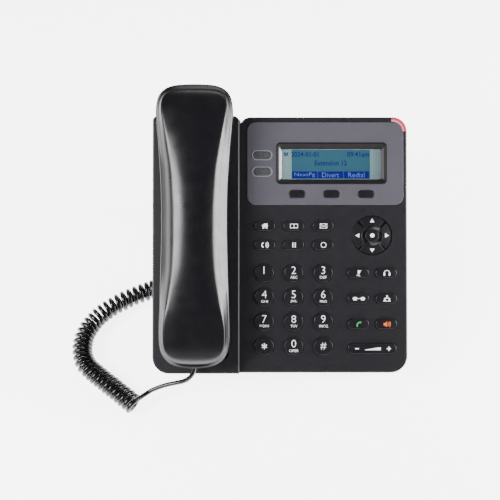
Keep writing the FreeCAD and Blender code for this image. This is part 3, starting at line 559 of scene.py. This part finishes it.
def plateau(x, y):
    h = max(float(H_FLAT(y)), 6.0)
    return float(T_TOP(y)) - float(CROWN(y)) * min(1.25, abs(x) / h) ** 2.3


base = smooth_loop(inset(lambda y: d_fl(y) + 0.2), 2)
for g in (0.0, 0.05, 0.11, 0.19, 0.29, 0.41, 0.54, 0.68, 0.83, 1.0):
    ringp = []
    for x, y in base:
        sy = min(max(y, 34.0), 206.0)
        px, py = x + (0.0 - x) * g, y + (sy - y) * g
        ringp.append((px, py, plateau(px, py)))
    loops.append(ringp)

hv, hf = [], []
for lp in loops:
    for x, y, z in lp:
        hv.append(W(HX + x, y, z))
for a in range(len(loops) - 1):
    for i in range(NL):
        j = (i + 1) % NL
        hf.append((a * NL + i, a * NL + j, (a + 1) * NL + j, (a + 1) * NL + i))
hand = add("handset_top_shell", hv, hf, M_BLACKGLOSS, None, True)
bm = bmesh.new()
bm.from_mesh(hand.data)
bm.verts.ensure_lookup_table()
keep = set(tuple(round(c, 7) for c in bm.verts[i].co) for i in list(range(5 * NL)) + list(range((len(loops) - 6) * NL, len(loops) * NL)))
min_ring = lambda v: tuple(round(c, 7) for c in v.co) not in keep
bmesh.ops.remove_doubles(bm, verts=bm.verts, dist=0.00002)
soft = [v for v in bm.verts if v.co.length > 0 and min_ring(v)]
for _ in range(8):
    bmesh.ops.smooth_vert(bm, verts=soft, factor=0.5, use_axis_x=True, use_axis_y=True, use_axis_z=True)
bmesh.ops.recalc_face_normals(bm, faces=bm.faces)
up = W(0, 0, 1) - W(0, 0, 0)
if sum(f.normal.dot(up) * f.calc_area() for f in bm.faces) < 0:
    bmesh.ops.reverse_faces(bm, faces=bm.faces)
bm.to_mesh(hand.data)
bm.free()
for p in hand.data.polygons:
    p.use_smooth = True
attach(hand, "handset")
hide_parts("handset_back_shell")

# ---------------------------------------------------------------- printed legends on the keys
def flat_mesh(splines):
    """filled 2D outlines in mm as (verts, faces); an outline inside another is a hole"""
    cu = bpy.data.curves.new("outline", "CURVE")
    cu.dimensions = "2D"
    cu.fill_mode = "BOTH"
    for pts in splines:
        sp = cu.splines.new("POLY")
        sp.points.add(len(pts) - 1)
        for q, (x, y) in zip(sp.points, pts):
            q.co = (x, y, 0.0, 1.0)
        sp.use_cyclic_u = True
    return bake(cu)


def text_mesh(body, height, bold=0.0, width=None):
    """text as (verts, faces), centred, scaled to a cap height in mm"""
    cu = bpy.data.curves.new("text", "FONT")
    cu.body = body
    cu.size = 10.0
    cu.resolution_u = 3
    cu.offset = bold
    cu.fill_mode = "FRONT"
    v, f = bake(cu)
    a = np.array(v)
    lo, hi = a.min(0), a.max(0)
    k = height / (hi[1] - lo[1])
    kx = k if width is None else width / (hi[0] - lo[0])
    a = (a - (lo + hi) / 2) * np.array([kx, k])
    return [tuple(p) for p in a], f


def bake(cu):
    ob = bpy.data.objects.new("tmp", cu)
    bpy.context.scene.collection.objects.link(ob)
    me = bpy.data.meshes.new_from_object(ob)
    bm = bmesh.new()
    bm.from_mesh(me)
    bmesh.ops.remove_doubles(bm, verts=bm.verts, dist=1e-4)
    bmesh.ops.triangulate(bm, faces=bm.faces)
    bm.verts.index_update()
    v = [(p.co.x, p.co.y) for p in bm.verts]
    f = [tuple(q.index for q in p.verts) for p in bm.faces]
    bm.free()
    bpy.data.objects.remove(ob)
    bpy.data.meshes.remove(me)
    return v, f


def circle(cx, cy, r, n=28, a0=0.0, a1=360.0):
    full = abs(a1 - a0) >= 360
    m = n if full else n + 1
    return [(cx + r * math.cos(math.radians(a0 + (a1 - a0) * i / n)), cy + r * math.sin(math.radians(a0 + (a1 - a0) * i / n))) for i in range(m)]


def arc_band(cx, cy, r0, r1, a0, a1, n=16):
    return circle(cx, cy, r1, n, a0, a1) + list(reversed(circle(cx, cy, r0, n, a0, a1)))


def bar(x0, y0, x1, y1, w):
    dx, dy = x1 - x0, y1 - y0
    L = math.hypot(dx, dy)
    nx, ny = -dy / L * w / 2, dx / L * w / 2
    return [(x0 + nx, y0 + ny), (x0 - nx, y0 - ny), (x1 - nx, y1 - ny), (x1 + nx, y1 + ny)]


def rect(x0, y0, x1, y1):
    return [(x0, y0), (x1, y0), (x1, y1), (x0, y1)]


def moved(part, dx, dy, k=1.0, rot=0.0):
    v, f = part
    c, s = math.cos(math.radians(rot)), math.sin(math.radians(rot))
    return [((x * c - y * s) * k + dx, (x * s + y * c) * k + dy) for x, y in v], f


def merged(parts):
    v, f = [], []
    for pv, pf in parts:
        o = len(v)
        v += pv
        f += [tuple(i + o for i in q) for q in pf]
    return v, f


def each(*splines):
    """outlines that are filled one by one, so that they may overlap"""
    return merged([flat_mesh([s]) for s in splines])


def decal(name, part, cx, cy, height, mat, body, lift=0.05):
    """lay a flat drawing on a crowned surface: height(x, y) is the surface, all in face-local mm"""
    v, f = part
    me = bpy.data.meshes.new(name)
    me.from_pydata([(x, y, 0) for x, y in v], [], f)
    bm = bmesh.new()
    bm.from_mesh(me)
    for _ in range(4):
        long_e = [e for e in bm.edges if e.calc_length() > 1.1]
        if not long_e:
            break
        bmesh.ops.subdivide_edges(bm, edges=long_e, cuts=1)
        bmesh.ops.triangulate(bm, faces=bm.faces)
    for p in bm.verts:
        x, y = cx + p.co.x, cy + p.co.y
        p.co = W(x, y, height(x, y) + lift)
    up = (W(0, 0, 1) - W(0, 0, 0)).normalized()
    bm.normal_update()
    for q in bm.faces:
        if q.normal.dot(up) < 0:
            q.normal_flip()
    bm.to_mesh(me)
    bm.free()
    me.materials.append(mat)
    ob = bpy.data.objects.new(name, me)
    bpy.context.scene.collection.objects.link(ob)
    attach(ob, body)
    return ob


def ball_top(cx, cy, top, r):
    return lambda x, y: top - (r - math.sqrt(max(r * r - (x - cx) ** 2 - (y - cy) ** 2, 0.0)))


DX, DY = (-13.2, 10.9, 35.1), (81.9, 62.2, 42.0, 21.9)
DIAL = [("1", "1", ""), ("2", "2", "ABC"), ("3", "3", "DEF"), ("4", "4", "GHI"), ("5", "5", "JKL"), ("6", "6", "MNO"),
        ("7", "7", "PQRS"), ("8", "8", "TUV"), ("9", "9", "WXYZ"), ("star", "*", ""), ("0", "0", "OPER"), ("hash", "#", "")]
for i, (nm, big, small) in enumerate(DIAL):
    cx, cy = DX[i % 3], DY[i // 3]
    h = ball_top(cx, cy, 1.5, 60.0)
    if nm == "star":
        parts = [flat_mesh([bar(-0.0, -2.5, 0.0, 2.5, 0.72)])] + [flat_mesh([bar(-2.4 * math.cos(math.radians(a)), -2.4 * math.sin(math.radians(a)), 2.4 * math.cos(math.radians(a)), 2.4 * math.sin(math.radians(a)), 0.72)]) for a in (30, 150)]
        part = moved(merged(parts), 0.1, 0.2)
    elif nm == "hash":
        part = moved(text_mesh("#", 5.6, -0.10), 0.0, 0.3)
    else:
        part = moved(text_mesh(big, 6.1, -0.14), -0.3 if big == "1" else 0.0, 2.3)
    decal("legend_digit_" + nm, part, cx, cy, h, M_WHITE_PAINTED_GLOW, "key_dial_" + nm)
    if small:
        part = text_mesh(small, 2.15, -0.08, {3: 5.6, 4: 7.6}[len(small)])
        decal("legend_letters_" + nm, moved(part, 0.1, -3.5), cx, cy, h, M_WHITE_PAINTED_GLOW, "key_dial_" + nm)

# function keys
home = each([(-3.4, 0.2), (3.4, 0.2), (0, 2.75)], rect(1.5, 1.0, 2.3, 2.7))
home = merged([home, flat_mesh([[(-2.4, 0.3), (-2.4, -2.5), (-0.75, -2.5), (-0.75, -0.7), (0.75, -0.7), (0.75, -2.5), (2.4, -2.5), (2.4, 0.3)]])])
book = each(arc_band(-1.65, -3.2, 4.9, 5.4, 70, 112, 8), arc_band(1.65, -3.2, 4.9, 5.4, 68, 110, 8), arc_band(-1.65, -7.0, 4.9, 5.4, 70, 112, 8), arc_band(1.65, -7.0, 4.9, 5.4, 68, 110, 8),
            rect(-3.75, -1.9, -3.25, 1.95), rect(3.25, -1.9, 3.75, 1.95), rect(-0.27, -2.4, 0.27, 1.6))
mail = each(rect(-3.5, -2.4, -3.05, 2.4), rect(3.05, -2.4, 3.5, 2.4), rect(-3.5, -2.4, 3.5, -1.95), rect(-3.5, 1.95, 3.5, 2.4),
            bar(-3.3, 2.1, 0.0, -0.5, 0.45), bar(0.0, -0.5, 3.3, 2.1, 0.45), bar(-3.2, -2.1, -1.0, 0.0, 0.35), bar(3.2, -2.1, 1.0, 0.0, 0.35))


def receiver(k=1.0):
    """a handset seen from its side, held upright, as (verts, faces)"""
    body = arc_band(2.6, 0.0, 2.6, 3.9, 128, 232, 18)
    a = [(0.0, 3.2), (1.5, 3.0), (1.3, 1.5), (0.1, 1.5)]
    b = [(x, -y) for x, y in a]
    return moved(each(body, a, b), -0.6, 0.0, k)


transfer = merged([moved(receiver(0.82), -1.9, 0), flat_mesh([arc_band(-0.6, 0, 1.3, 1.85, -52, 52)]), flat_mesh([arc_band(-0.6, 0, 2.5, 3.05, -52, 52)]),
                   flat_mesh([arc_band(-0.6, 0, 3.7, 4.25, -48, 48)])])
hold = each(rect(-1.65, -2.4, -0.75, 2.4), rect(0.75, -2.4, 1.65, 2.4))
record = flat_mesh([circle(0, 0, 2.75, 36), circle(0, 0, 2.2, 36)])
FX, FY = (-12.9, 10.9, 35.1), (120.5, 104.9)
for i, (nm, part) in enumerate([("home", home), ("book", book), ("mail", mail), ("transfer", transfer), ("hold", hold), ("record", record)]):
    cx, cy = FX[i % 3], FY[i // 3]
    decal("legend_" + nm, moved(part, 0.3, 0.0, 0.84), cx, cy, ball_top(cx, cy, 1.3, 60.0), M_WHITE_PAINTED_GLOW, "key_" + nm)

# call keys
mute = each(circle(0, 1.9, 1.0, 16, 0, 180) + circle(0, 0.2, 1.0, 16, 180, 360), rect(-0.25, -2.6, 0.25, -1.4),
            rect(-1.1, -2.95, 1.1, -2.55), bar(-2.1, -2.5, 2.2, 2.7, 0.45))
headset = each(arc_band(0, 0.0, 2.35, 2.95, 0, 180), rect(-3.3, -2.5, -1.75, 0.3), rect(1.75, -2.5, 3.3, 0.3))


def desk_phone():
    return each([(-2.1, -1.9), (2.1, -1.9), (1.5, 0.35), (-1.5, 0.35)], arc_band(0, -1.6, 2.6, 3.6, 38, 142), rect(-2.75, -0.3, -1.35, 0.75), rect(1.35, -0.3, 2.75, 0.75))


intercom = merged([moved(desk_phone(), -3.7, 0.0, 0.85), moved(desk_phone(), 3.7, 0.0, 0.85), flat_mesh([rect(-0.8, -0.25, 0.8, 0.3)])])


def person(dx, dy, k):
    return moved(each(circle(0, 1.25, 0.95), circle(0, -1.4, 1.55, 20, 0, 180)), dx, dy, k)


conference = merged([person(0, 1.4, 0.9), person(-2.2, -1.3, 0.9), person(2.2, -1.3, 0.9), flat_mesh([rect(-2.4, -2.62, 2.4, -2.2)])])
send = moved(merged([moved(receiver(1.0), 0, 0)]), -0.2, 0.1, 0.98, -42)
speaker = merged([each(rect(-3.4, -1.2, -2.0, 1.2), [(-2.1, -1.2), (0.0, -2.9), (0.0, 2.9), (-2.1, 1.2)]), flat_mesh([arc_band(-0.9, 0, 1.9, 2.45, -42, 42)]),
                  flat_mesh([arc_band(-0.9, 0, 3.0, 3.55, -42, 42)]), flat_mesh([arc_band(-0.9, 0, 4.1, 4.6, -40, 40)])])
CX_, CY_ = (63.9, 86.9), (81.9, 60.9, 40.0)
for i, (nm, part, m) in enumerate([("mute", mute, M_WHITE_PAINTED_GLOW), ("headset", headset, M_WHITE_PAINTED_GLOW), ("intercom", intercom, M_WHITE_PAINTED_GLOW), ("conference", conference, M_WHITE_PAINTED_GLOW),
                                   ("send", send, M_GREEN), ("speaker", speaker, M_ORANGE)]):
    cx, cy = CX_[i % 2], CY_[i // 2]
    decal("legend_" + nm, moved(part, 0.4, 0.0, 0.84), cx, cy, ball_top(cx, cy, 1.3, 60.0), m, "key_" + nm)

# navigation: four triangles and a dot
NAVC = (75.4, 112.7)
rt = ball_top(NAVC[0], NAVC[1], 1.4, 70.0)
tri = flat_mesh([[(-1.95, -1.5), (1.95, -1.5), (0, 1.9)]])
for nm, dx, dy, rot in (("up", 0, 12.2, 0), ("down", 0, -12.1, 180), ("left", -12.0, 0, 90), ("right", 12.0, 0, -90)):
    decal("legend_nav_" + nm, moved(moved(tri, 0, 0, 0.95, rot), dx, dy), NAVC[0], NAVC[1], rt, M_WHITE_PAINTED_GLOW, "key_nav_" + nm)
decal("legend_nav_centre", flat_mesh([circle(0, 0, 1.75)]), NAVC[0], NAVC[1], ball_top(NAVC[0], NAVC[1], 1.3, 60.0), M_WHITE_PAINTED_GLOW, "key_nav_centre")

# volume rocker: minus, wedge, plus
vol = merged([each(rect(-14.0, -0.5, -11.0, 0.45)), each([(-5.9, -1.15), (6.9, -1.15), (6.9, 1.35), (-5.9, -0.75)]), each(rect(11.9, -0.45, 15.3, 0.45)), each(rect(13.15, -1.7, 14.05, 1.7))])
decal("legend_volume", moved(vol, 0.0, 0.2), 75.2, 19.8, ball_top(75.2, 19.8, 1.3, 220.0), M_WHITE_PAINTED_GLOW, "volume")

# ---------------------------------------------------------------- display: rim, recess walls, picture
def rr_loop(x0, y0, x1, y1, r, z, n=9):
    out = []
    for cx, cy, a in ((x1 - r, y1 - r, 0), (x0 + r, y1 - r, 90), (x0 + r, y0 + r, 180), (x1 - r, y0 + r, 270)):
        for i in range(n + 1):
            t = math.radians(a + 90.0 * i / n)
            out.append((cx + r * math.cos(t), cy + r * math.sin(t), z))
    return out


# the recess walls carry painted light: the left wall, which faces the light at the right, is painted light grey as a
# highlight, the right wall a dimmer grey as its shaded side
M_WALL_PAINTED_LIT = plastic("recess_wall_painted_lit_side", (176, 176, 182), (0.30, 0.40), 3000, 0.1, 0.00002, 0.05)
M_WALL_PAINTED_SHADED = plastic("recess_wall_painted_shaded_side", (66, 64, 70), (0.30, 0.40), 3000, 0.1, 0.00002, 0.05)
FR = (-2.3, 155.9, 87.0, 188.4)
LC = (1.4, 159.3, 83.2, 184.3)
rings = [rr_loop(FR[0] - 1.0, FR[1] - 1.0, FR[2] + 1.0, FR[3] + 1.0, 3.7, 0.26),
         rr_loop(FR[0] - 0.75, FR[1] - 0.75, FR[2] + 0.75, FR[3] + 0.75, 3.5, 0.55),
         rr_loop(FR[0] + 0.0, FR[1] + 0.0, FR[2] - 0.0, FR[3] - 0.0, 2.9, 0.62),
         rr_loop(FR[0] + 0.65, FR[1] + 0.65, FR[2] - 0.65, FR[3] - 0.65, 2.4, 0.15),
         rr_loop(FR[0] + 1.5, FR[1] + 1.35, FR[2] - 1.5, FR[3] - 1.35, 1.8, -0.8),
         rr_loop(LC[0] + 0.1, LC[1] + 0.1, LC[2] - 0.1, LC[3] - 0.1, 0.8, -3.30)]
rv, rf, ri = [], [], []
N4 = len(rings[0])
for q in rings:
    rv += [W(*p) for p in q]
for a in range(len(rings) - 1):
    for i in range(N4):
        j = (i + 1) % N4
        rf.append((a * N4 + i, a * N4 + j, (a + 1) * N4 + j, (a + 1) * N4 + i))
        pa = rings[a][i]
        pb = rings[a][j]
        mx, my = (pa[0] + pb[0]) / 2, (pa[1] + pb[1]) / 2
        # faces of the left wall take the painted-highlight material, those of the right wall the painted-shade material
        if a == 4 and abs(pa[1] - pb[1]) > 3 and mx < 10:
            ri.append(1)
        elif a == 4 and abs(pa[1] - pb[1]) > 3 and mx > 70:
            ri.append(2)
        else:
            ri.append(0)
rim = add("display_rim", rv, rf, [M_RIM, M_WALL_PAINTED_LIT, M_WALL_PAINTED_SHADED], "root", False, ri)
for p in rim.data.polygons:
    p.use_smooth = p.material_index == 0

# the picture on the display, just over the window
ZL = -3.38


def lcd_mat(name, a, b, margin=False):
    k = Mat(name)
    mp = k.n.new("ShaderNodeMapping")
    mp.vector_type = "TEXTURE"
    mp.inputs["Location"].default_value = W(0, 0, 0)
    mp.inputs["Rotation"].default_value = (TILT, 0, 0)
    k.l.new(k.tc.outputs["Object"], mp.inputs["Vector"])
    ch = k.n.new("ShaderNodeTexBrick")
    ch.offset = 0.0
    ch.inputs["Scale"].default_value = 1000.0
    ch.inputs["Brick Width"].default_value = 0.62 if not margin else 1.3
    ch.inputs["Row Height"].default_value = 0.62 if not margin else 1.6
    ch.inputs["Mortar Size"].default_value = 0.05 if not margin else 0.32
    ch.inputs["Color1"].default_value = a
    ch.inputs["Color2"].default_value = tuple(0.5 * (p + q) for p, q in zip(a, b))
    ch.inputs["Mortar"].default_value = b
    k.l.new(mp.outputs["Vector"], ch.inputs["Vector"])
    k.l.new(ch.outputs["Color"], k.b.inputs["Base Color"])
    k.l.new(k.range(k.noise(500, 2.0), 0.14, 0.22), k.b.inputs["Roughness"])
    k.set(Coat_Weight=0.6, Coat_Roughness=0.05)
    k.b.inputs["Emission Strength"].default_value = 0.12
    k.l.new(ch.outputs["Color"], k.b.inputs["Emission Color"])
    return k.m


M_LCD = lcd_mat("lcd_teal", srgb(47, 85, 101), srgb(39, 74, 90))
M_LCD_EDGE = lcd_mat("lcd_pale_margin", srgb(84, 112, 116), srgb(112, 136, 138), True)
M_NAVY = lcd_mat("lcd_navy", srgb(14, 14, 104), srgb(20, 22, 112))
M_INK = lcd_mat("lcd_ink", srgb(8, 20, 84), srgb(14, 30, 96))
M_PALE = lcd_mat("lcd_pale_ink", srgb(104, 138, 178), srgb(92, 124, 166))


def plate(name, x0, y0, x1, y1, z, mat, nx=24, ny=8):
    v = [W(x0 + (x1 - x0) * i / nx, y0 + (y1 - y0) * j / ny, z) for j in range(ny + 1) for i in range(nx + 1)]
    f = [(j * (nx + 1) + i, j * (nx + 1) + i + 1, (j + 1) * (nx + 1) + i + 1, (j + 1) * (nx + 1) + i) for j in range(ny) for i in range(nx)]
    return add(name, v, f, mat, "root", False, None)


LX = lambda px: (px - 280.25) * 0.8222 * 1.006 - 0.35
LY = lambda py: (372.6 - py) * 0.8222
plate("lcd_background", 9.6, 159.6, 74.4, 184.0, ZL, M_LCD)
plate("lcd_margin_left", 1.55, 159.6, 9.6, 184.0, ZL, M_LCD_EDGE, 6)
plate("lcd_margin_right", 74.4, 159.6, 83.0, 184.0, ZL, M_LCD_EDGE, 6)
flat_z = lambda z: (lambda x, y: z)


def lcd_text(name, s, x, y, h, w, mat, z=ZL, align=0):
    v, f = text_mesh(s, h, 0.12 if mat is M_INK else -0.12, w)
    dx = x + (w / 2 if align < 0 else (-w / 2 if align > 0 else 0))
    decal(name, (v, f), dx, y, flat_z(z), mat, "root", 0.03)


def dots(rows, cell):
    """a small pixel drawing, as the display makes it"""
    sp = []
    for j, row in enumerate(rows):
        for i, c in enumerate(row):
            if c != " ":
                x, y = (i - len(row) / 2) * cell, (len(rows) / 2 - j) * cell
                sp.append(flat_mesh([rect(x, y - cell * 0.92, x + cell * 0.92, y)]))
    return merged(sp)


icon = dots(["#   #", "#####", "# # #", "#####", " # # "], 0.68)
decal("lcd_icon", icon, 4.9, 180.2, flat_z(ZL), M_INK, "root", 0.03)
lcd_text("lcd_date", "2024-01-01", 9.3, 180.1, 4.0, 22.6, M_INK, ZL, -1)
lcd_text("lcd_time", "09:41am", 73.6, 180.1, 4.0, 18.0, M_INK, ZL, 1)
lcd_text("lcd_name", "Extension 12", 42.0, 172.9, 4.2, 26.5, M_INK)
for i, (nm, s, w) in enumerate([("next", "NextPg", 17.0), ("divert", "Divert", 14.0), ("redial", "Redial", 13.4)]):
    x0 = 10.0 + i * 21.4
    plate("lcd_box_" + nm, x0, 160.2, x0 + 20.8, 165.9, ZL + 0.02, M_NAVY, 10, 3)
    lcd_text("lcd_label_" + nm, s, x0 + 10.4, 163.0, 3.9, w, M_PALE, ZL + 0.02)

# thin rims round the two line keys, painted light grey as a highlight on their edges, and the dark waist line of each
# lens
for i, ky in enumerate((178.9, 165.3)):
    a = rr_loop(-15.0 - 7.35, ky - 3.15, -15.0 + 7.35, ky + 3.15, 3.14, 0.27, 10)
    b = rr_loop(-15.0 - 7.9, ky - 3.7, -15.0 + 7.9, ky + 3.7, 3.69, 0.60, 10)
    c = rr_loop(-15.0 - 8.6, ky - 4.2, -15.0 + 8.6, ky + 4.2, 4.19, 0.27, 10)
    v = [W(*p) for p in a] + [W(*p) for p in b] + [W(*p) for p in c]
    n = len(a)
    f = [(k_ * n + q, k_ * n + (q + 1) % n, (k_ + 1) * n + (q + 1) % n, (k_ + 1) * n + q) for k_ in range(2) for q in range(n)]
    add("line_key_rim_%d" % (i + 1), v, f, M_RIM_PAINTED_HIGHLIGHT, "root", True, None)
for i, kx in enumerate((13.8, 42.1, 70.5)):
    ky = 146.8
    a = rr_loop(kx - 7.1, ky - 3.45, kx + 7.1, ky + 3.45, 3.44, 0.27, 10)
    b = rr_loop(kx - 7.5, ky - 3.75, kx + 7.5, ky + 3.75, 3.74, 0.42, 10)
    c = rr_loop(kx - 8.1, ky - 4.0, kx + 8.1, ky + 4.0, 3.99, 0.27, 10)
    v = [W(*p) for p in a] + [W(*p) for p in b] + [W(*p) for p in c]
    n = len(a)
    f = [(k_ * n + q, k_ * n + (q + 1) % n, (k_ + 1) * n + (q + 1) % n, (k_ + 1) * n + q) for k_ in range(2) for q in range(n)]
    add("soft_key_rim_%d" % (i + 1), v, f, M_PANEL, "root", True, None)
